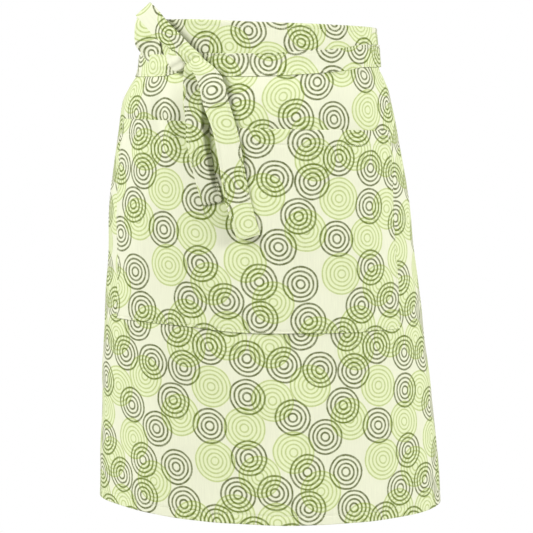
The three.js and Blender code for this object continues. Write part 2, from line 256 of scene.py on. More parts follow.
TAIL_LONG_WAY = table(
    STRAP_COLUMNS,
    (-76, -49, 12.2, 31, 20.5, 1, 0),
    (-72.5, -53.5, 14.2, 33, 20.5, 1.6, 0.5),
    (-64.5, -61, 15, 32, 22.5, 1.8, 1.5),
    (-54, -77, 15.2, 24, 25.5, 1.8, 3.5),
    (-45, -102.5, 13.8, 15, 26, 1.6, 5),
    (-37, -132, 12.8, 10, 25, 1.2, 5.5),
    (-31, -165, 12.2, 10, 25, 1, 5.5),
    (-24.5, -208, 11.2, 13, 27, 0.8, 5),
    (-12.5, -257, 9, 17.5, 26.5, 0.6, 3),
)

# Relief of the straps: stations count from 0 at the knot, and across runs from -1 to 1. A pair gives where
# something starts and where it is complete. A waver has its height, and its radians per station and across.
# The last value is the step in stations, and across, over which a strap's slope is taken
LOOP_RIDGES = {"height": 0.9, "waves": 1.5, "phase": 0.6, "front": (1.5, 4.5), "rear": (9.8, 12.5)}
LOOP_WAVER = (0.35, 1.7, 2.2)
TURNED_EDGE = {"depth": 11.5, "grown": (2.6, 4.4), "gone": (6.4, 7.9), "across": (0.44, 0.9)}
TAIL_SHORT_WAVER = (0.3, 1.9, 1.4)
TAIL_SWELL = {"height": 0.9, "waves": 0.7, "gone": (3.0, 6.5)}
TAIL_LONG_WAVER = (0.3, 1.6, -1.2)
SLOPE_STEP = 0.01

# The knot: its middle on the form, half its length, height and depth, its turn in radians, how full it is
# (1 is an ellipsoid, less is squarer), and its pleats. Then the rows of its mesh around and along it, and
# the angle by which they stop short of its two poles, where flat ends close it
KNOT = {
    "arc": -101.0,
    "level": -48.5,
    "off": 7.4,
    "long": 11.0,
    "tall": 14.0,
    "deep": 7.4,
    "turn": 0.3,
    "fullness": 0.6,
    "pleats": 7,
    "pleat_depth": 0.08,
    "pleat_bend": 0.8,
}
KNOT_AROUND = 96
KNOT_ALONG = 44
KNOT_POLE = 0.03

# The print's repeat, charted: the tile's width and height, and the middles of the ring motifs in it
PRINT_REPEAT = np.array((212.0, 212.0))
DARK_RINGS = np.array((
    (31, 164), (95, 177), (70, 140), (141, 150), (190, 188), (188, 114), (46, 98), (95, 96), (6, 73),
    (46, 54), (104, 52), (173, 69), (146, 34), (24, 15), (68, 9), (112, 6), (192, 22),
), float)
LIGHT_RINGS = np.array((
    (55, 202), (103, 160), (146, 198), (30, 122), (184, 150), (146, 108),
    (62, 74), (116, 32), (168, 44), (8, 36), (200, 92), (8, 184),
), float)
# Where each piece was cut from the printed cloth: its own shift on the repeat
CUT_FROM = {
    "skirt": (0, 0),
    "pocket": (61, 37),
    "band": (44, 152),
    "tie_front": (102, 3),
    "tie_side": (133, 198),
    "loop": (142, 200),
    "tail_short": (182, 149),
    "tail_long": (142, 200),
    "knot": (136, 80),
}

# How the ink fades from a line's middle outwards, in shares of its width, and how much of the print shows on
# the face and through on the reverse
INK_FULL = 0.3
INK_GONE = 0.72
FACE_STRENGTH = 1.0
REVERSE_STRENGTH = 0.35

# Unevenness of the print: the wandering of its lines, the blots at their edges, the thin patches in the ink
# with the least share of ink in them, and the soft edge of the tint. A scale is in features for each
# millimetre, and the rest are in millimetres
WANDER_SCALE = 0.07
WANDER_REACH = 1.3
BLOT_SCALE = 0.55
BLOT_REACH = (-0.16, 0.2)
PATCH_SCALE = 0.17
PATCH_LEAST = 0.72
TINT_SOFT = 0.5

# The cloth's own texture: the weave's repeat over two threads, the thick yarns' scale across and up the
# cloth, their shades and their height against the weave's, and the sewing thread's twist, with its pitch and
# the painted shade that darkens the grooves between its plies
WEAVE_REPEAT = 1.1
SLUB_SCALE = (0.9, 0.045, 0)
SLUB_SHADE = (0.955, 1.03)
SLUB_HEIGHT = 1.6
TWIST_PITCH = 1.2
TWIST_PAINTED_SHADE = 0.86

# Sewn lines: how far they lie in from an edge, the groove along the thread and its reach, and the puckers
# along it, with their length, height, reach and uneven spacing
SEAM_INSET = 2.6
SEAM_GROOVE = 0.5
SEAM_GROOVE_REACH = 1.1
PUCKER_LENGTH = 8.5
PUCKER_HEIGHT = 0.22
PUCKER_REACH = 5.0
PUCKER_DRIFT = 0.35
PUCKER_DRIFT_LENGTH = 17.0

# Stitches: the length of one and the space to the next, the thread's thickness, how high its middle stands,
# the share of its thickness that the ends lie lower, its taper, and the rings and sides of its mesh
STITCH_LENGTH = 2.3
STITCH_GAP = 0.8
THREAD = 0.55
THREAD_RISE = 0.16
THREAD_SINK = 0.3
THREAD_TAPER = 0.86
STITCH_RINGS = 4
STITCH_SIDES = 6

# How far the middle of a cut edge stands out, as a share of the cloth's thickness
EDGE_ROUND = 0.45

# Kinds of shader node
VECTOR = "ShaderNodeVectorMath"
SCALAR = "ShaderNodeMath"
NOISE = "ShaderNodeTexNoise"
RANGE = "ShaderNodeMapRange"
MIX = "ShaderNodeMix"
BUMP = "ShaderNodeBump"

# Softboxes: the setting that holds the power, the side in metres, and the place. They face one point
SOFTBOXES = (
    ("key", 0.7, (1.76, -0.94, 0.45)),
    ("fill", 1.5, (-2.15, -1.4, 1.2)),
    ("back", 1.4, (0.3, 2.2, 0.7)),
)
LIGHT_AIM = (0, 0, -0.25)
# The camera's sensor in millimetres, the sides of the round floor, and the share of it that its middle takes
SENSOR = 36.0
FLOOR_SIDES = 128
FLOOR_MIDDLE = 0.02


def smooth(x, low, high):
    """Smooth step: 0 up to low, 1 from high on, and 3t^2 - 2t^3 between."""
    t = np.clip((x - low) / (high - low), 0, 1)
    return t * t * (3 - 2 * t)


def mound(x, reach):
    """Bell curve: 1 at x = 0 and 1/e one reach away."""
    return np.exp(-((x / reach) ** 2))


def read(rows, key, name, at):
    """Monotone cubic through one column, read by another. A row's slope is the harmonic mean of the slopes on
    its two sides, and zero where the column turns, so that the curve never swings past its rows."""
    x, y = rows[key], rows[name]
    rise = np.diff(y) / np.diff(x)
    before, after = np.append(rise[0], rise), np.append(rise, rise[-1])
    turning = before * after <= 0
    slope = np.where(turning, 0, 2 * before * after / np.where(turning, 1, before + after))
    at = np.clip(at, x[0], x[-1])
    i = np.clip(np.searchsorted(x, at, side="right") - 1, 0, len(x) - 2)
    span = x[i + 1] - x[i]
    t = (at - x[i]) / span
    start = (1 + 2 * t) * (1 - t) ** 2 * y[i] + t * (1 - t) ** 2 * span * slope[i]
    end = t * t * (3 - 2 * t) * y[i + 1] + t * t * (t - 1) * span * slope[i + 1]
    return start + end


def oval(level):
    """The form's section at a level: front and back arcs of one radius joined by two tighter side arcs,
    tangent where they meet. Gives the half width and depth, the side and front radii, the angle of half a
    front arc, and the lengths of half a front arc and of a side arc."""
    width, depth = read(FORM, "level", "width", level), read(FORM, "level", "depth", level)
    side = SIDE_ROUNDNESS * depth
    front = ((width - side) ** 2 + depth**2 - side**2) / (2 * (depth - side))
    turn = np.arctan2(width - side, front - depth)
    return width, depth, side, front, turn, front * turn, side * (np.pi - 2 * turn)


def way_round(level):
    """Length once round the form at a level."""
    *_, front_length, side_length = oval(level)
    return 4 * front_length + 2 * side_length


def on_form(arc, level, off):
    """Points at arc, level and off: on each of the oval's arcs, centre + (radius + off) turned by the angle
    that arc spans there, then shifted by the form's lean and tilted by a small drop towards +X."""
    width, depth, side, front, turn, front_length, side_length = oval(level)
    once = 4 * front_length + 2 * side_length
    lap = arc - once * np.round(arc / once)
    far = np.abs(lap)
    past_side = far - front_length - side_length
    on_back = past_side > 0
    on_side = (far > front_length) & ~on_back
    angle = np.where(on_side, turn + (far - front_length) / side, far / front)
    angle = np.where(on_back, np.pi - turn + past_side / front, angle)
    radius = np.where(on_side, side, front) + off
    centre_x = np.where(on_side, width - side, 0)
    centre_y = np.where(on_back, depth - front, np.where(on_side, 0, front - depth))
    lean = read(FORM, "level", "lean", level)
    x = lean + np.where(lap < 0, -1, 1) * (centre_x + radius * np.sin(angle))
    y = centre_y - radius * np.cos(angle)
    return np.stack(np.broadcast_arrays(x, y, level - LEVEL_TILT * x), -1)


def ripples(arc, level):
    """Unevenness of hanging cloth: a sum of waves, height * sin(2 pi (arc / round + level / down) + phase),
    which grows from nothing below the tie."""
    waves = sum(
        height * np.sin(2 * np.pi * (arc / around + level / down) + phase)
        for around, down, height, phase in zip(*RIPPLES.values())
    )
    return waves * smooth(-level, RIPPLE_FROM, RIPPLE_FULL)


def seam_line(away, along):
    """A sewn line in cloth: a narrow groove where the thread pulls it in, with small puckers along it that
    die away to both sides. away is the distance from the line and along the distance on it."""
    groove = -SEAM_GROOVE * mound(away, SEAM_GROOVE_REACH)
    puckers = along / PUCKER_LENGTH + PUCKER_DRIFT * np.sin(along / PUCKER_DRIFT_LENGTH)
    return groove + PUCKER_HEIGHT * np.sin(2 * np.pi * puckers) * mound(away, PUCKER_REACH)


def skirt_face(arc, level):
    """How far the skirt's outer face lies off the form: tucked in under the band, out below it with its folds
    (each a bell curve round, grown over FOLD_RISE and gone at its end), and the ripples."""
    folds = sum(
        height
        * mound(arc - at - drift * (top - level), width)
        * smooth(top - level, 0, FOLD_RISE)
        * (1 - smooth(top - level, FOLD_KEEP, top - end))
        for at, drift, top, end, width, height in zip(*FOLDS.values())
    )
    return folds + ripples(arc, level) - SKIRT_TUCK * (1 - smooth(-level, *TUCK_OUT))


def graded(low, high, border, border_steps, start, steps):
    """Places from low to high, close together at both ends: border_steps of them in the border at each end,
    and steps between, from start inside low to start inside high."""
    return np.concatenate((
        np.linspace(low, low + border, border_steps),
        np.linspace(low + start, high - start, steps),
        np.linspace(high - border, high, border_steps),
    ))


def ladder(count):
    """Quads that close a ring of count points, strip by strip between its two halves."""
    near = np.arange(count // 2 - 1)
    return np.stack((near, near + 1, count - 2 - near, count - 1 - near), -1)


def node(tree, kind, inputs=(), output=0, **settings):
    """Adds one shader node, sets its properties, links or sets its inputs by name or number, and gives one of
    its outputs."""
    made = tree.nodes.new(kind)
    for name, value in settings.items():
        setattr(made, name, value)
    for key, value in dict(inputs).items():
        if isinstance(value, bpy.types.NodeSocket):
            tree.links.new(value, made.inputs[key])
        else:
            made.inputs[key].default_value = value
    return made.outputs[output]


def linear(hex_colour):
    """Linear RGB of an sRGB colour written as a hex number."""
    srgb = np.array([hex_colour >> 16 & 255, hex_colour >> 8 & 255, hex_colour & 255]) / 255
    return tuple(np.where(srgb <= 0.04045, srgb / 12.92, ((srgb + 0.055) / 1.055) ** 2.4))


def colour(name, description, hex_colour):
    """A colour that the user can change, with its default as sRGB hex."""
    return FloatVectorProperty(
        name=name, description=description, default=linear(hex_colour), subtype="COLOR", size=3, min=0, max=1
    )


def length(name, description, millimetres):
    """A length that the user can change, with its default in millimetres."""
    return FloatProperty(name=name, description=description, default=millimetres * MM, min=0, unit="LENGTH")


def power(name, description, watts):
    """A light's power that the user can change, with its default in watts."""
    return FloatProperty(name=name, description=description, default=watts, min=0, unit="POWER")


class ApronCloth(bpy.types.PropertyGroup):
    """Sizes of the cloth and its sewing."""

    thickness: length("Cloth", "Thickness of one layer of cotton with its turned edges", 0.9)
    hem: length("Hem", "Depth of the turned hem at the bottom", 11)
    side_hem: length("Side hems", "Depth of the turned hems at the two back edges", 9)
    mouth_hem: length("Pocket hem", "Depth of the turned hem at the pocket's mouth", 18)
    gape: length("Pocket gape", "How far the pocket's mouth stands off the skirt", 5)


class ApronPrint(bpy.types.PropertyGroup):
    """Sizes and colours of the ring print."""

    dark_spacing: length("Dark spacing", "From one line of a dark motif to the next", 5.2)
    dark_count: IntProperty(name="Dark lines", description="Lines in a dark motif", default=4, min=1)
    dark_line: length("Dark line", "Width of a dark line", 2.3)
    light_spacing: length("Light spacing", "From one line of a light motif to the next", 4.9)
    light_count: IntProperty(name="Light lines", description="Lines in a light motif", default=5, min=1)
    light_line: length("Light line", "Width of a light line", 1.9)
    ground: colour("Ground", "The unprinted cotton", 0xE7E9CE)
    tint: colour("Tint", "The lime wash inside a light motif", 0xE2EABE)
    light_ink: colour("Light ink", "The lines of a light motif", 0xBDC986)
    dark_ink: colour("Dark ink", "The lines of a dark motif on the plain ground", 0x626A38)
    mixed_ink: colour("Mixed ink", "The lines of a dark motif where they cross a light one", 0x677822)
    thread: colour("Thread", "The sewing thread", 0xE6E8D0)


class ApronStage(bpy.types.PropertyGroup):
    """Floor, light and camera."""

    floor: colour("Floor", "The matt studio floor", 0xF2F2EF)
    floor_drop: length("Floor below", "How far the floor lies below the waist", 950)
    floor_reach: length("Floor reach", "Radius of the round floor", 1000)
    sky: FloatProperty(name="Surround", description="Light from the white surround", default=0.28, min=0)
    key: power("Key light", "Power of the right softbox", 35)
    fill: power("Fill light", "Power of the left softbox", 82)
    back: power("Back light", "Power of the rear softbox", 22)
    lens: FloatProperty(name="Lens", description="Focal length", default=106.8, unit="CAMERA")
    camera_place: FloatVectorProperty(
        name="Camera",
        description="Place of the camera",
        default=(0.0107, -2.0, -0.092),
        subtype="TRANSLATION",
    )
    camera_pitch: FloatProperty(
        name="Pitch",
        description="Tilt of the camera below the horizon",
        default=math.radians(6.1),
        subtype="ANGLE",
    )


def nearest_ring(tree, place, middles):
    """Distance in millimetres to the nearest middle: for each, the place is wrapped into the repeat's tile
    round that middle and measured from it, and the least of the distances counts."""
    half = PRINT_REPEAT / 2
    nearest = None
    for middle in middles:
        wrapped = node(
            tree, VECTOR, {0: place, 1: (*(middle + half), 1), 2: (*(middle - half), -1)}, operation="WRAP"
        )
        far = node(tree, VECTOR, {0: wrapped, 1: (*middle, 0)}, output="Value", operation="DISTANCE")
        if nearest is None:
            nearest = far
        else:
            nearest = node(tree, SCALAR, {0: nearest, 1: far}, operation="MINIMUM")
    return nearest


def ring_lines(tree, far, spacing, count, line, blot):
    """1 on the lines of a ring motif and 0 off them, by the distance to the nearest multiple of the spacing,
    from the first ring to the last. blot widens and narrows the line as ink does on cloth."""
    off_line = node(tree, SCALAR, {0: far, 1: spacing / 2}, operation="PINGPONG")
    off_line = node(tree, SCALAR, {0: off_line, 1: blot}, operation="ADD")
    ink = node(
        tree, RANGE, {0: off_line, 1: line * INK_GONE, 2: line * INK_FULL, 3: 0.0, 4: 1.0},
        interpolation_type="SMOOTHSTEP",
    )
    within = node(tree, SCALAR, {0: far, 1: (count + 0.5) * spacing}, operation="LESS_THAN")
    beyond = node(tree, SCALAR, {0: far, 1: spacing / 2}, operation="GREATER_THAN")
    ring = node(tree, SCALAR, {0: within, 1: beyond}, operation="MULTIPLY")
    return node(tree, SCALAR, {0: ink, 1: ring}, operation="MULTIPLY")


def new_material(name, constants):
    """A new material, its node tree and its shader, with constants on the shader's own sockets."""
    material = bpy.data.materials.new(name)
    material.use_nodes = True
    shader = material.node_tree.nodes["Principled BSDF"]
    for socket, value in constants.items():
        shader.inputs[socket].default_value = value
    return material, material.node_tree, shader


def printed_cotton(name, rings, strength):
    """Plain-woven cotton, screen printed with two sets of ring motifs. It gives the eye a matt, slightly
    fuzzy ground, soft-edged ink that shows the light motif through the dark one, and a fine over-and-under
    weave. strength is how much of the print shows: all of it on the face, a ghost of it on the reverse."""
    matt = {"Roughness": 0.92, "IOR": 1.46, "Specular IOR Level": 0.25}
    fuzz = {"Sheen Weight": 0.12, "Sheen Roughness": 0.6}
    material, tree, shader = new_material(name, {**matt, **fuzz})
    cloth = node(tree, "ShaderNodeUVMap", uv_map=CLOTH_MAP)

    # The screen's lines wander by about a third of a millimetre over some fifteen millimetres
    wander = node(tree, NOISE, {"Vector": cloth, "Scale": WANDER_SCALE, "Detail": 0.0}, output="Color")
    wander = node(tree, VECTOR, {0: wander, 1: (0.5, 0.5, 0.5)}, operation="SUBTRACT")
    shift = node(tree, VECTOR, {0: wander, 1: (WANDER_REACH, WANDER_REACH, 0)}, operation="MULTIPLY")
    place = node(tree, VECTOR, {0: cloth, 1: shift}, operation="ADD")
    blot = node(tree, NOISE, {"Vector": cloth, "Scale": BLOT_SCALE, "Detail": 2.0})
    blot = node(tree, RANGE, {0: blot, 1: 0.3, 2: 0.7, 3: BLOT_REACH[0], 4: BLOT_REACH[1]})

    dark_far = nearest_ring(tree, place, DARK_RINGS)
    light_far = nearest_ring(tree, place, LIGHT_RINGS)
    dark_spacing, dark_line = rings.dark_spacing / MM, rings.dark_line / MM
    light_spacing, light_line = rings.light_spacing / MM, rings.light_line / MM
    dark = ring_lines(tree, dark_far, dark_spacing, rings.dark_count, dark_line, blot)
    light = ring_lines(tree, light_far, light_spacing, rings.light_count, light_line, blot)
    rim = light_spacing * rings.light_count + light_line / 2
    tint = node(tree, RANGE, {0: light_far, 1: rim + TINT_SOFT, 2: rim - TINT_SOFT, 3: 0.0, 4: strength})
    # The ink lies thinner in places, in patches of a few millimetres with finer ones in them
    patch = node(tree, NOISE, {"Vector": cloth, "Scale": PATCH_SCALE, "Detail": 4.0})
    taken = node(tree, RANGE, {0: patch, 1: 0.3, 2: 0.6, 3: PATCH_LEAST * strength, 4: strength})
    dark = node(tree, SCALAR, {0: dark, 1: taken}, operation="MULTIPLY")
    light = node(tree, SCALAR, {0: light, 1: taken}, operation="MULTIPLY")

    # Threads lie about half a millimetre apart, and each goes over one and under the next
    turns = node(tree, VECTOR, {0: cloth, 3: 2 * math.pi / WEAVE_REPEAT}, operation="SCALE")
    waves = node(tree, VECTOR, {0: turns}, operation="SINE")
    across, up, _ = node(tree, "ShaderNodeSeparateXYZ", {0: waves}).node.outputs
    weave = node(tree, SCALAR, {0: across, 1: up}, operation="MULTIPLY")

    # Thicker yarns show as faint streaks up the cloth, about one millimetre wide and twenty long
    slub = node(tree, VECTOR, {0: cloth, 1: SLUB_SCALE}, operation="MULTIPLY")
    slub = node(tree, NOISE, {"Vector": slub, "Scale": 1.0, "Detail": 2.0})
    shade = node(tree, RANGE, {0: slub, 1: 0.25, 2: 0.75, 3: SLUB_SHADE[0], 4: SLUB_SHADE[1]}, clamp=False)

    mix = {"output": 2, "data_type": "RGBA", "blend_type": "MIX"}
    colour_now = node(tree, MIX, {0: tint, 6: (*rings.ground, 1), 7: (*rings.tint, 1)}, **mix)
    colour_now = node(tree, MIX, {0: light, 6: colour_now, 7: (*rings.light_ink, 1)}, **mix)
    ink = node(tree, MIX, {0: tint, 6: (*rings.dark_ink, 1), 7: (*rings.mixed_ink, 1)}, **mix)
    colour_now = node(tree, MIX, {0: dark, 6: colour_now, 7: ink}, **mix)
    colour_now = node(tree, VECTOR, {0: colour_now, 3: shade}, operation="SCALE")
    tree.links.new(colour_now, shader.inputs["Base Color"])

    height = node(tree, SCALAR, {0: slub, 1: SLUB_HEIGHT, 2: weave}, operation="MULTIPLY_ADD")
    bump = node(tree, BUMP, {"Strength": 0.35, "Distance": 0.18 * MM, "Height": height})
    tree.links.new(bump, shader.inputs["Normal"])
    return material


def cotton_thread(name, rings):
    """Spun polyester-cotton sewing thread. It gives the eye a matt strand in the cloth's own pale tone, with
    a twist across it whose grooves between the plies are darkened with painted shade."""
    material, tree, shader = new_material(name, {"Roughness": 0.7})
    place = node(tree, "ShaderNodeTexCoord", output="Object")
    # The plies turn once in about half a millimetre. They are drawn coarser, so that the twist shows up
    # close. Diagonal bands repeat every 2 pi / (10 * scale) along an axis
    scale = 2 * math.pi / (10 * TWIST_PITCH * MM)
    twist = node(
        tree, "ShaderNodeTexWave", {"Vector": place, "Scale": scale, "Distortion": 2.0}, output=1,
        bands_direction="DIAGONAL",
    )
    # Painted shade: the colour darkens in the grooves between the plies
    shade = node(tree, RANGE, {0: twist, 1: 0.0, 2: 1.0, 3: TWIST_PAINTED_SHADE, 4: 1.0})
    tone = node(tree, VECTOR, {0: (*rings.thread,), 3: shade}, operation="SCALE")
    tree.links.new(tone, shader.inputs["Base Color"])
    bump = node(tree, BUMP, {"Strength": 0.4, "Distance": 0.1 * MM, "Height": twist})
    tree.links.new(bump, shader.inputs["Normal"])
    return material


def studio_floor(name, stage):
    """Matt painted studio floor. It gives the eye an even pale ground with a faint unevenness."""
    material, tree, shader = new_material(name, {"Roughness": 0.95})
    place = node(tree, "ShaderNodeTexCoord", output="Object")
    grain = node(tree, NOISE, {"Vector": place, "Scale": 2.0, "Detail": 2.0})
    shade = node(tree, RANGE, {0: grain, 1: 0.0, 2: 1.0, 3: 0.99, 4: 1.0})
    tone = node(tree, VECTOR, {0: (*stage.floor,), 3: shade}, operation="SCALE")
    tree.links.new(tone, shader.inputs["Base Color"])
    return material


def material_for(name, make, *given):
    """The material of that name, made the first time that it is asked for."""
    return bpy.data.materials.get(name) or make(name, *given)


def cloth_materials(context):
    """Face and reverse of the printed cotton."""
    rings = context.scene.apron_print
    face = material_for("Printed plain-weave cotton", printed_cotton, rings, FACE_STRENGTH)
    reverse = material_for("Reverse of printed cotton", printed_cotton, rings, REVERSE_STRENGTH)
    return face, reverse


def mesh_object(context, name, points, quads, materials, material_index=None, cloth=None):
    """A smooth mesh object from points in millimetres and quads, with its print map where it has one."""
    mesh = bpy.data.meshes.new(name)
    mesh.vertices.add(len(points))
    mesh.vertices.foreach_set("co", (points * MM).astype(np.float32).ravel())
    mesh.loops.add(quads.size)
    mesh.loops.foreach_set("vertex_index", quads.astype(np.int32).ravel())
    mesh.polygons.add(len(quads))
    mesh.polygons.foreach_set("loop_start", np.arange(0, quads.size, 4, dtype=np.int32))
    if cloth is not None:
        layer = mesh.uv_layers.new(name=CLOTH_MAP)
        layer.uv.foreach_set("vector", cloth[quads.ravel()].astype(np.float32).ravel())
    for material in materials:
        mesh.materials.append(material)
    if material_index is not None:
        mesh.polygons.foreach_set("material_index", material_index.astype(np.int32))
    mesh.update(calc_edges=True)
    mesh.validate()
    mesh.shade_smooth()
    made = bpy.data.objects.new(name, mesh)
    context.scene.collection.objects.link(made)
    return made


def edge_loop(rows, columns):
    """Grid places once round the edge of a grid, as two arrays."""
    up, across = np.arange(rows), np.arange(columns)
    i = np.concatenate((up, np.full(columns - 1, rows - 1), up[-2::-1], np.zeros(columns - 2, int)))
    j = np.concatenate((np.zeros(rows, int), across[1:], np.full(rows - 1, columns - 1), across[-2:0:-1]))
    return i, j


def sheet_piece(context, name, face, us, vs, cloth, cut, two_faced=True):
    """A closed sheet of cloth. face(u, v, side) gives its points, with side 0 outside and 1 inside, and
    cloth(u, v) the place on the cloth in millimetres. The edge is rounded: between the two faces a middle row
    stands out by EDGE_ROUND times the thickness."""
    u, v = np.meshgrid(us, vs, indexing="ij")
    outer, inner = face(u, v, 0), face(u, v, 1)
    flat = np.stack(np.broadcast_arrays(*cloth(u, v)), -1) + np.array(CUT_FROM[cut], float)
    square = np.cross(np.gradient(outer, axis=0), np.gradient(outer, axis=1))
    if np.sum(square * (outer - inner)) < 0:
        outer, inner, flat = outer.swapaxes(0, 1), inner.swapaxes(0, 1), flat.swapaxes(0, 1)
    rows, columns = outer.shape[:2]
    i, j = edge_loop(rows, columns)
    inside_i, inside_j = np.clip(i, 1, rows - 2), np.clip(j, 1, columns - 2)
    outward = outer[i, j] - outer[inside_i, inside_j]
    outward /= np.linalg.norm(outward, axis=1, keepdims=True)
    thick = np.linalg.norm(outer[i, j] - inner[i, j], axis=1, keepdims=True)
    middle = (outer[i, j] + inner[i, j]) / 2 + outward * thick * EDGE_ROUND

    index = np.arange(rows * columns).reshape(rows, columns)
    corner, right, over, up = index[:-1, :-1], index[1:, :-1], index[1:, 1:], index[:-1, 1:]
    front = np.stack((corner, right, over, up), -1).reshape(-1, 4)
    back = np.stack((corner, up, over, right), -1).reshape(-1, 4) + rows * columns
    ring = index[i, j]
    between = 2 * rows * columns + np.arange(len(ring))
    behind = ring + rows * columns
    rim = [
        np.stack((np.roll(near, -1), near, far, np.roll(far, -1)), -1)
        for near, far in ((ring, between), (between, behind))
    ]
    quads = np.concatenate((front, back, *rim))
    reverse = np.zeros(len(quads))
    reverse[len(front) : len(front) + len(back)] = 1 if two_faced else 0
    points = np.concatenate((outer.reshape(-1, 3), inner.reshape(-1, 3), middle))
    places = np.concatenate((flat.reshape(-1, 2), flat.reshape(-1, 2), flat[i, j]))
    return mesh_object(context, name, points, quads, cloth_materials(context), reverse, places)


def stitch_rows(context, name, face, lines):
    """Rows of lockstitch on a face. Each stitch is a thread along its row that rises between two dips: its
    points are its middle + at * half its length along + lift up + radius * (cos turn across + sin turn up),
    with radius and lift falling off to both ends. lines is a list of the (u, v) that the rows follow."""
    starts, ends = [], []
    for u, v in lines:
        u, v = np.broadcast_arrays(u, v)
        steps = np.linalg.norm(np.diff(face(u, v, 0), axis=0), axis=1)
        run = np.append(0, np.cumsum(steps))
        begin = np.arange(STITCH_GAP, run[-1] - STITCH_LENGTH, STITCH_LENGTH + STITCH_GAP)
        starts.append(np.stack((np.interp(begin, run, u), np.interp(begin, run, v))))
        close = begin + STITCH_LENGTH
        ends.append(np.stack((np.interp(close, run, u), np.interp(close, run, v))))
    start, end = np.concatenate(starts, 1), np.concatenate(ends, 1)
    middle = (start + end) / 2
    place = face(*middle, 0)
    up = place - face(*middle, 1)
    up /= np.linalg.norm(up, axis=1, keepdims=True)
    along = face(*end, 0) - face(*start, 0)
    along /= np.linalg.norm(along, axis=1, keepdims=True)
    across = np.cross(up, along)

    at = np.linspace(-1, 1, STITCH_RINGS)[None, :, None, None]
    turn = (np.arange(STITCH_SIDES) * 2 * np.pi / STITCH_SIDES)[None, None, :, None]
    radius = THREAD / 2 * np.sqrt(1 - (THREAD_TAPER * at) ** 2)
    lift = THREAD_RISE - THREAD_SINK * THREAD * at**2
    place, along, up, across = (vectors[:, None, None, :] for vectors in (place, along, up, across))
    points = place + at * STITCH_LENGTH / 2 * along + lift * up
    points = points + radius * (np.cos(turn) * across + np.sin(turn) * up)

    index = np.arange(points[..., 0].size).reshape(points.shape[:3])
    beside = np.roll(index, -1, axis=2)
    walls = np.stack((index[:, :-1], beside[:, :-1], beside[:, 1:], index[:, 1:]), -1).reshape(-1, 4)
    # Two quads close each end of the six-sided thread
    caps = [index[:, 0][:, [0, 3, 2, 1]], index[:, 0][:, [0, 5, 4, 3]]]
    caps += [index[:, -1][:, [0, 1, 2, 3]], index[:, -1][:, [0, 3, 4, 5]]]
    quads = np.concatenate((walls, *caps))
    thread = material_for("Spun sewing thread", cotton_thread, context.scene.apron_print)
    sewn = mesh_object(context, name, points.reshape(-1, 3), quads, [thread])
    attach(sewn, BODY)
    return sewn


def settle(piece, nodes):
    """Seats a cloth piece on the frame, in place of its CAD node, which it hides."""
    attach(piece, BODY)
    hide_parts(*nodes)


class APRON_OT_skirt(bpy.types.Operator):
    """Skirt: the hanging rectangle with its hem and the two turned edges at the back"""

    bl_idname = "apron.skirt"
    bl_label = "Skirt"

    def execute(self, context):
        sizes = context.scene.apron_cloth
        thick, hem, side_hem = sizes.thickness / MM, sizes.hem / MM, sizes.side_hem / MM
        edge = CLOTH_WIDTH / 2
        top = -BAND_HEIGHT + SEAM_ALLOWANCE

        def face(arc, level, side):
            """The skirt's face, drawn in along the hems' seams. Inside, the turned hems add a layer."""
            up, inward = level - HEM_LEVEL, edge - np.abs(arc)
            off = skirt_face(arc, level) + seam_line(up - hem, arc) + seam_line(inward - side_hem, level)
            past_seam = np.minimum(up - hem, inward - side_hem)
            turned = (1 - smooth(past_seam, 0, HEM_EASE)) * smooth(-level, *EDGES_THICKEN)
            return on_form(arc, level, off - side * thick * (1 + SKIRT_HEM_LAYER * turned))

        def cloth(arc, level):
            """The skirt was cut as it hangs, so these are its places on the cloth too."""
            return arc, level

        arcs = graded(-edge, edge, border=14, border_steps=13, start=17, steps=196)
        levels = np.concatenate((
            np.linspace(top, HEM_LEVEL + 17, 158), np.linspace(HEM_LEVEL + 15.5, HEM_LEVEL, 17)
        ))
        skirt = sheet_piece(context, "skirt_cloth", face, arcs, levels, cloth, "skirt")
        below_tie = np.linspace(-72, HEM_LEVEL + 2, 160)
        rows = [(np.linspace(-edge + 2, edge - 2, 240), HEM_LEVEL + hem)]
        rows += [(side * (edge - side_hem), below_tie) for side in (-1, 1)]
        sewn = stitch_rows(context, "skirt_stitches", face, rows)
        settle(skirt, ["skirt_panel"])
        return {"FINISHED"}


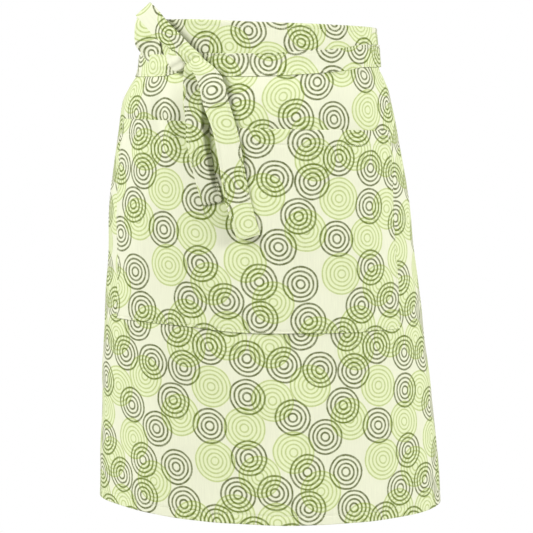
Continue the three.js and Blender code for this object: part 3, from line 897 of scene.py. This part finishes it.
class APRON_OT_pocket(bpy.types.Operator):
    """Pocket: the wide patch pocket, sewn down on three sides and hemmed at its mouth"""

    bl_idname = "apron.pocket"
    bl_label = "Pocket"

    def execute(self, context):
        sizes = context.scene.apron_cloth
        thick, mouth_hem, gape = sizes.thickness / MM, sizes.mouth_hem / MM, sizes.gape / MM
        wide, tall = POCKET_RIGHT - POCKET_LEFT, POCKET_MOUTH - POCKET_BOTTOM

        def face(across, up, side):
            """The pocket's face: the skirt's own face and, off it, a gape that is nothing at the three sewn
            edges and full over the middle of the mouth, less where the tails lie on it. The seams draw it in,
            and inside, the turned hem adds to it."""
            arc = POCKET_LEFT + wide * across
            lift = smooth(-arc, *POCKET_LIFT_ARCS)
            bottom, mouth = POCKET_BOTTOM + POCKET_BOTTOM_LIFT * lift, POCKET_MOUTH + POCKET_LIFT * lift
            level = bottom + (mouth - bottom) * up
            pressed = 1 - PRESS_SHARE * mound(arc - PRESS_ARC, PRESS_REACH)
            stand = gape * pressed * (1 - (2 * across - 1) ** 2) * smooth(up, 0, POCKET_GAPE_FULL)
            inward = wide * np.minimum(across, 1 - across)
            seams = seam_line(inward - SEAM_INSET, level) + seam_line(level - bottom - SEAM_INSET, arc)
            hemmed = seam_line(mouth - level - mouth_hem, arc)
            turned = 1 - smooth(mouth - level, mouth_hem, mouth_hem + HEM_EASE)
            off = skirt_face(arc, level) + POCKET_CLEAR + stand + seams + hemmed
            return on_form(arc, level, off + thick - side * thick * (1 + MOUTH_HEM_LAYER * turned))

        def cloth(across, up):
            """The pocket was cut as a rectangle."""
            return wide * across, tall * up

        across = graded(0, 1, border=0.02, border_steps=9, start=0.027, steps=132)
        up = np.concatenate((np.linspace(0, 0.03, 9), np.linspace(0.04, 0.9, 76), np.linspace(0.906, 1, 26)))
        pocket = sheet_piece(context, "pocket_cloth", face, across, up, cloth, "pocket")
        inset, lower = SEAM_INSET / wide, SEAM_INSET / tall
        rise = np.linspace(lower, 0.995, 90)
        rows = [(inset, rise), (1 - inset, rise), (np.linspace(inset, 1 - inset, 140), lower)]
        rows.append((np.linspace(0.004, 0.996, 140), 1 - mouth_hem / tall))
        # Bar tacks hold the mouth's two corners: short rows side by side
        tack = np.linspace(*TACK_SPAN, 8)
        rows += [
            (corner + inward * k * TACK_STEP / wide, tack)
            for corner, inward in ((inset, 1), (1 - inset, -1))
            for k in range(1, TACK_ROWS + 1)
        ]
        sewn = stitch_rows(context, "pocket_stitches", face, rows)
        settle(pocket, ["pocket"])
        return {"FINISHED"}


class APRON_OT_waistband(bpy.types.Operator):
    """Waistband: a strip folded over the skirt's top edge and topstitched"""

    bl_idname = "apron.waistband"
    bl_label = "Waistband"

    def execute(self, context):
        turn_middle = BAND_OUTSIDE_TURN - BAND_WALL / 2
        quarter = turn_middle * math.pi / 2
        wall = BAND_HEIGHT - BAND_OUTSIDE_TURN
        half = wall + quarter
        once = way_round(BAND_MIDDLE)
        reach = CLOTH_WIDTH / 2 / once

        def face(share, down, side):
            """The strip's face: down runs from the outer edge (-half) over the fold at 0 to the inner edge.
            Two straight walls are joined by a half circle, which sags a little towards +X. The topstitching
            draws the outer wall in, and a crease stands in it."""
            radius = BAND_OUTSIDE_TURN - side * BAND_WALL
            angle = np.clip(down / turn_middle, -np.pi / 2, np.pi / 2)
            drop = np.maximum(np.abs(down) - quarter, 0)
            along = share * once
            sag = BAND_SAG * smooth(along, *BAND_SAG_ARCS) * (1 - drop / wall)
            level = -BAND_OUTSIDE_TURN + radius * np.cos(angle) - drop - sag
            seams = seam_line(down + half - SEAM_INSET, along)
            seams = seams + seam_line(down + TOPSTITCH, along + TOPSTITCH_SHIFT)
            beside = along - BAND_CREASE["arc"] - BAND_CREASE["drift"] * down
            crease = BAND_CREASE["height"] * mound(beside, BAND_CREASE["reach"])
            crease = crease * smooth(-down, *BAND_CREASE["down"])
            relief = (BAND_SEAM_SHARE * seams - BAND_PRESS) * (down < 0) + crease
            off = -BAND_OUTSIDE_TURN - radius * np.sin(angle) + relief * (1 - side)
            return on_form(share * way_round(level), level, off)

        def cloth(share, down):
            """The strip was cut straight, as long as the skirt is wide."""
            return share * once, -down

        shares = np.linspace(-reach, reach, 300)
        walls = np.linspace(half, quarter, 40)
        downs = np.concatenate((-walls, np.linspace(-BAND_FOLD_ROWS, BAND_FOLD_ROWS, 9), walls[::-1]))
        band = sheet_piece(context, "waistband_cloth", face, shares, downs, cloth, "band", two_faced=False)
        run = np.linspace(-reach * 0.995, reach * 0.995, 300)
        rows = [(run, SEAM_INSET - half), (run, -TOPSTITCH)]
        sewn = stitch_rows(context, "waistband_stitches", face, rows)
        settle(band, ["waistband"])
        return {"FINISHED"}


class APRON_OT_ties(bpy.types.Operator):
    """Ties: the two stitched strips round the waist, from the band's back ends to the knot"""

    bl_idname = "apron.ties"
    bl_label = "Ties"

    def execute(self, context):
        self.tie(context, "tie_front", TIE_FRONT_WAY, knot_row=0)
        self.tie(context, "tie_side", TIE_SIDE_WAY, knot_row=-1)
        return {"FINISHED"}

    def tie(self, context, name, way, knot_row):
        """One tie, with the pull of the knot at the end of its way that runs into it."""
        first, last = way["share"][0], way["share"][-1]
        knot_share = way["share"][knot_row]
        gathers = TIE_GATHERS[name]
        once = way_round(BAND_MIDDLE)

        def face(share, across, side):
            """The strip's face: on its way round, across from -0.5 to 0.5 of its width. A flat tube of two
            layers, full in the middle and thin at the sewn edges, with lengthwise gathers that grow towards
            the knot, where it rises off the waist and only its lower edge still lies on the skirt."""
            width = read(way, "share", "width", share)
            level = read(way, "share", "level", share) + width * across
            to_edge = width * (0.5 - np.abs(across))
            along = share * once
            near = mound((share - knot_share) * once, GATHER_REACH) * gathers
            waves = np.cos(2 * np.pi * (GATHER_WAVES * across + GATHER_PHASE)) * (1 - 4 * across**2)
            uneven = np.sin(along / TIE_WAVER["short"] + TIE_WAVER["skew"] * across)
            uneven = TIE_WAVER["height"] * uneven * np.sin(along / TIE_WAVER["long"])
            full = 1 - EDGE_THINNING * mound(to_edge, EDGE_THINNING_REACH)
            seams = TIE_SEAM_SHARE * seam_line(to_edge - SEAM_INSET, along)
            inner = read(way, "share", "off", share)
            rise = np.maximum(inner - ON_BAND, 0) + near * (1 + waves)
            off = np.minimum(inner, ON_BAND) + (TIE_THICKNESS * full + seams) * (1 - side)
            off = off + rise * smooth(across, *TIE_RISE_ACROSS) + uneven
            return on_form(share * way_round(level), level, off)

        def cloth(share, across):
            """The strip was cut straight."""
            return share * once, TIE_WIDTH * across

        shares = np.linspace(first, last, int((last - first) * once / TIE_STEP))
        acrosses = graded(-0.5, 0.5, border=0.1, border_steps=6, start=0.13, steps=19)
        strip = sheet_piece(context, name + "_cloth", face, shares, acrosses, cloth, name, two_faced=False)
        inset = 0.5 - SEAM_INSET / TIE_WIDTH
        run = np.linspace(first, last, 300)
        rows = [(run, edge * inset) for edge in (-1, 1)]
        sewn = stitch_rows(context, name + "_stitches", face, rows)
        settle(strip, [name])


def strap_face(way, relief):
    """face(at, across, side) of a strap along its stations: the middle's place plus across times half the
    width in the slant's direction, bent back by curl * across^2 + bank * across, then half the thickness to
    each side, square to that surface. relief(at, across) adds to off."""
    stations = dict(way, at=np.arange(len(way["arc"]), dtype=float))

    def middle(at, across):
        """The strap's middle surface as arc, level and off."""
        arc, level, off, slant, width, curl, bank = (
            read(stations, "at", name, at) for name in STRAP_COLUMNS.split()
        )
        aside = across * width / 2
        out = off - curl * across**2 - bank * across + relief(at, across)
        arc = arc + aside * np.cos(np.radians(slant))
        level = level + aside * np.sin(np.radians(slant))
        return np.stack(np.broadcast_arrays(arc, level, out), -1)

    def face(at, across, side):
        """Half the thickness off the middle surface, outwards or inwards."""
        lengthwise = middle(at + SLOPE_STEP, across) - middle(at - SLOPE_STEP, across)
        crosswise = middle(at, across + SLOPE_STEP) - middle(at, across - SLOPE_STEP)
        square = np.cross(lengthwise, crosswise)
        square /= np.linalg.norm(square, axis=-1, keepdims=True)
        place = middle(at, across) + square * TIE_THICKNESS * (0.5 - side)
        return on_form(place[..., 0], place[..., 1], place[..., 2])

    return face


def waver(at, across, height, per_station, per_across):
    """Soft uneven lie of a strap: height * sin(per_station * at + per_across * across)."""
    return height * np.sin(per_station * at + per_across * across)


def loop_relief(at, across):
    """The loop's gathers: three ridges along it that grow towards its two ends in the knot, and a waver."""
    gathered = np.maximum(1 - smooth(at, *LOOP_RIDGES["front"]), smooth(at, *LOOP_RIDGES["rear"]))
    ridges = np.cos(2 * np.pi * LOOP_RIDGES["waves"] * across + LOOP_RIDGES["phase"]) * (1 - across**2)
    return gathered * LOOP_RIDGES["height"] * ridges + waver(at, across, *LOOP_WAVER) * (1 - gathered)


def tail_short_relief(at, across):
    """The short tail's fold: towards +X the cloth turns back, deep beside the long tail and flat at its
    end. A waver is added."""
    grown = smooth(at, *TURNED_EDGE["grown"]) * (1 - smooth(at, *TURNED_EDGE["gone"]))
    turned = TURNED_EDGE["depth"] * grown * smooth(across, *TURNED_EDGE["across"])
    return waver(at, across, *TAIL_SHORT_WAVER) - turned


def tail_long_relief(at, across):
    """The long tail's swell lengthwise, which dies away downwards, and a waver."""
    swell = TAIL_SWELL["height"] * np.cos(2 * np.pi * TAIL_SWELL["waves"] * across)
    return swell * (1 - smooth(at, *TAIL_SWELL["gone"])) + waver(at, across, *TAIL_LONG_WAVER)


class APRON_OT_bow(bpy.types.Operator):
    """Half bow: the loop and the two hanging tails"""

    bl_idname = "apron.bow"
    bl_label = "Bow"

    def execute(self, context):
        # The loop and the long tail are one strap: up from the knot on the loop is up on the cloth
        self.strap(context, "bow_loop", LOOP_WAY, loop_relief, "loop", "folded", upward=1)
        self.strap(context, "tail_short", TAIL_SHORT_WAY, tail_short_relief, "tail_short", "hung", upward=-1)
        self.strap(context, "tail_long", TAIL_LONG_WAY, tail_long_relief, "tail_long", "hung", upward=-1)
        return {"FINISHED"}

    def strap(self, context, name, way, relief, cut, held, upward):
        """One strap of the bow with its sewn edges. A tail, which runs down the cloth, is sewn at its end
        too."""
        face = strap_face(way, relief)
        last = len(way["arc"]) - 1
        fine = np.linspace(0, last, 400)
        steps = np.linalg.norm(np.diff(face(fine, np.zeros_like(fine), 0), axis=0), axis=1)
        run = np.append(0, np.cumsum(steps))

        def cloth(at, across):
            """The strap was cut straight, and its length is measured along its middle."""
            return across * TIE_WIDTH / 2, upward * np.interp(at, fine, run)

        ats = np.linspace(0, last, int(run[-1] / STRAP_STEP))
        acrosses = graded(-1, 1, border=0.2, border_steps=5, start=0.26, steps=25)
        piece = sheet_piece(context, name + "_cloth", face, ats, acrosses, cloth, cut, two_faced=False)
        inset = 1 - 2 * SEAM_INSET / TIE_WIDTH
        rows = [(fine, edge * inset) for edge in (-1, 1)]
        if upward < 0:
            rows.append((np.interp(run[-1] - SEAM_INSET, run, fine), np.linspace(-inset, inset, 40)))
        sewn = stitch_rows(context, name + "_stitches", face, rows)
        settle(piece, [name])


class APRON_OT_knot(bpy.types.Operator):
    """Knot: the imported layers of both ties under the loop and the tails"""

    bl_idname = "apron.knot"
    bl_label = "Knot"

    def execute(self, context):
        around = np.linspace(0, 2 * np.pi, KNOT_AROUND + 1)[:-1]
        down = np.linspace(KNOT_POLE, np.pi - KNOT_POLE, KNOT_ALONG)
        turn, tip = np.meshgrid(around, down, indexing="ij")
        # A full, flattened ball with its poles at both ends of its length, and pleats that run from pole to
        # pole: sines and cosines of the tip angle are raised to a power, so that they keep close to 1
        along = np.sign(np.cos(tip)) * np.abs(np.cos(tip)) ** KNOT["fullness"]
        girth = np.sin(tip) ** KNOT["fullness"]
        bend = KNOT["pleat_bend"] * np.sin(2 * tip)
        girth = girth * (1 + KNOT["pleat_depth"] * np.cos(KNOT["pleats"] * turn + bend) * np.sin(tip))
        aside = along * KNOT["long"]
        up = girth * np.cos(turn) * KNOT["tall"]
        out = girth * np.sin(turn) * KNOT["deep"]
        arc = KNOT["arc"] + aside * math.cos(KNOT["turn"]) - up * math.sin(KNOT["turn"])
        level = KNOT["level"] + aside * math.sin(KNOT["turn"]) + up * math.cos(KNOT["turn"])
        points = on_form(arc, level, KNOT["off"] + out)
        # The print runs on over both ends, so it is laid out along the length and down the depth there
        laid = aside * (1 + (KNOT["deep"] - out) / KNOT["long"])
        flat = np.stack((laid, up), -1) + np.array(CUT_FROM["knot"], float)

        index = np.arange(turn.size).reshape(turn.shape)
        beside = np.roll(index, -1, axis=0)
        walls = np.stack((index[:, :-1], index[:, 1:], beside[:, 1:], beside[:, :-1]), -1).reshape(-1, 4)
        rungs = ladder(KNOT_AROUND)
        quads = np.concatenate((walls, index[:, -1][rungs], index[:, 0][rungs[:, ::-1]]))
        points, flat = points.reshape(-1, 3), flat.reshape(-1, 2)
        corner = points[walls]
        square = np.cross(corner[:, 1] - corner[:, 0], corner[:, 3] - corner[:, 0])
        if np.sum(square * (corner.mean(1) - points.mean(0))) < 0:
            quads = quads[:, ::-1]
        knot = mesh_object(context, "bow_knot_cloth", points, quads, cloth_materials(context), cloth=flat)
        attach(knot, BODY)
        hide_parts("bow_knot")
        return {"FINISHED"}


class APRON_OT_stage(bpy.types.Operator):
    """Stage: pale floor, white surround, three softboxes and the camera"""

    bl_idname = "apron.stage"
    bl_label = "Stage"

    def execute(self, context):
        stage = context.scene.apron_stage
        turn = np.linspace(0, 2 * np.pi, FLOOR_SIDES + 1)[:-1]
        rim = stage.floor_reach / MM * np.stack((np.cos(turn), np.sin(turn), 0 * turn), -1)
        points = np.concatenate((rim, FLOOR_MIDDLE * rim)) - np.array((0, 0, stage.floor_drop / MM))
        around = np.arange(FLOOR_SIDES)
        after = np.roll(around, -1)
        ring = np.stack((around, after, after + FLOOR_SIDES, around + FLOOR_SIDES), -1)
        quads = np.concatenate((ring, ladder(FLOOR_SIDES) + FLOOR_SIDES))
        paint = material_for("Matt painted floor", studio_floor, stage)
        floor = mesh_object(context, "studio_floor", points, quads, [paint])

        world = bpy.data.worlds.new("White studio surround")
        world.use_nodes = True
        context.scene.world = world
        tree = world.node_tree
        # The surround lights the cloth softly and stays pure white where it is seen
        seen = node(tree, "ShaderNodeLightPath", output="Is Camera Ray")
        strength = node(tree, MIX, {0: seen, 2: stage.sky, 3: 1.0}, data_type="FLOAT")
        surround = tree.nodes["Background"]
        surround.inputs["Color"].default_value = (1, 1, 1, 1)
        tree.links.new(strength, surround.inputs["Strength"])

        for setting, size, place in SOFTBOXES:
            self.softbox(context, setting.title() + " softbox", getattr(stage, setting), size, place)

        view = bpy.data.cameras.new("Front camera")
        view.lens = stage.lens
        view.sensor_width = SENSOR
        camera = bpy.data.objects.new("Front camera", view)
        camera.location = stage.camera_place
        camera.rotation_euler = (math.pi / 2 - stage.camera_pitch, 0, 0)
        context.scene.collection.objects.link(camera)
        context.scene.camera = camera
        context.scene.view_settings.view_transform = "Standard"
        return {"FINISHED"}

    def softbox(self, context, name, watts, size, place):
        """One square softbox, turned to face LIGHT_AIM."""
        light = bpy.data.lights.new(name, "AREA")
        light.size = size
        light.energy = watts
        box = bpy.data.objects.new(name, light)
        box.location = place
        x, y, z = np.array(LIGHT_AIM) - np.array(place)
        box.rotation_euler = (math.atan2(math.hypot(x, y), -z), 0, math.atan2(-x, y))
        context.scene.collection.objects.link(box)


class APRON_PT_panel(bpy.types.Panel):
    """Lists the sizes and colours of the apron and the steps that build it"""

    bl_label = "Waist apron"
    bl_idname = "APRON_PT_panel"
    bl_space_type = "VIEW_3D"
    bl_region_type = "UI"
    bl_category = "Apron"

    def draw(self, context):
        for group in GROUPS:
            box = self.layout.box()
            settings = getattr(context.scene, group)
            for name in settings.bl_rna.properties.keys():
                if name not in ("rna_type", "name"):
                    box.prop(settings, name)
        for step in STEPS:
            self.layout.operator(step.bl_idname)


GROUPS = {"apron_cloth": ApronCloth, "apron_print": ApronPrint, "apron_stage": ApronStage}
STEPS = (
    APRON_OT_skirt,
    APRON_OT_pocket,
    APRON_OT_waistband,
    APRON_OT_ties,
    APRON_OT_bow,
    APRON_OT_knot,
    APRON_OT_stage,
)
CLASSES = (*GROUPS.values(), *STEPS, APRON_PT_panel)


def register():
    """Registers the classes and puts the settings on the scene."""
    for cls in CLASSES:
        bpy.utils.register_class(cls)
    for name, group in GROUPS.items():
        setattr(bpy.types.Scene, name, PointerProperty(type=group))


def unregister():
    """Takes the settings off the scene and the classes out again."""
    for name in GROUPS:
        delattr(bpy.types.Scene, name)
    for cls in reversed(CLASSES):
        bpy.utils.unregister_class(cls)


def main():
    """Builds the apron piece by piece."""
    register()
    bpy.ops.apron.skirt()
    bpy.ops.apron.pocket()
    bpy.ops.apron.waistband()
    bpy.ops.apron.ties()
    bpy.ops.apron.bow()
    bpy.ops.apron.knot()
    bpy.ops.apron.stage()


if __name__ == "__main__":
    main()
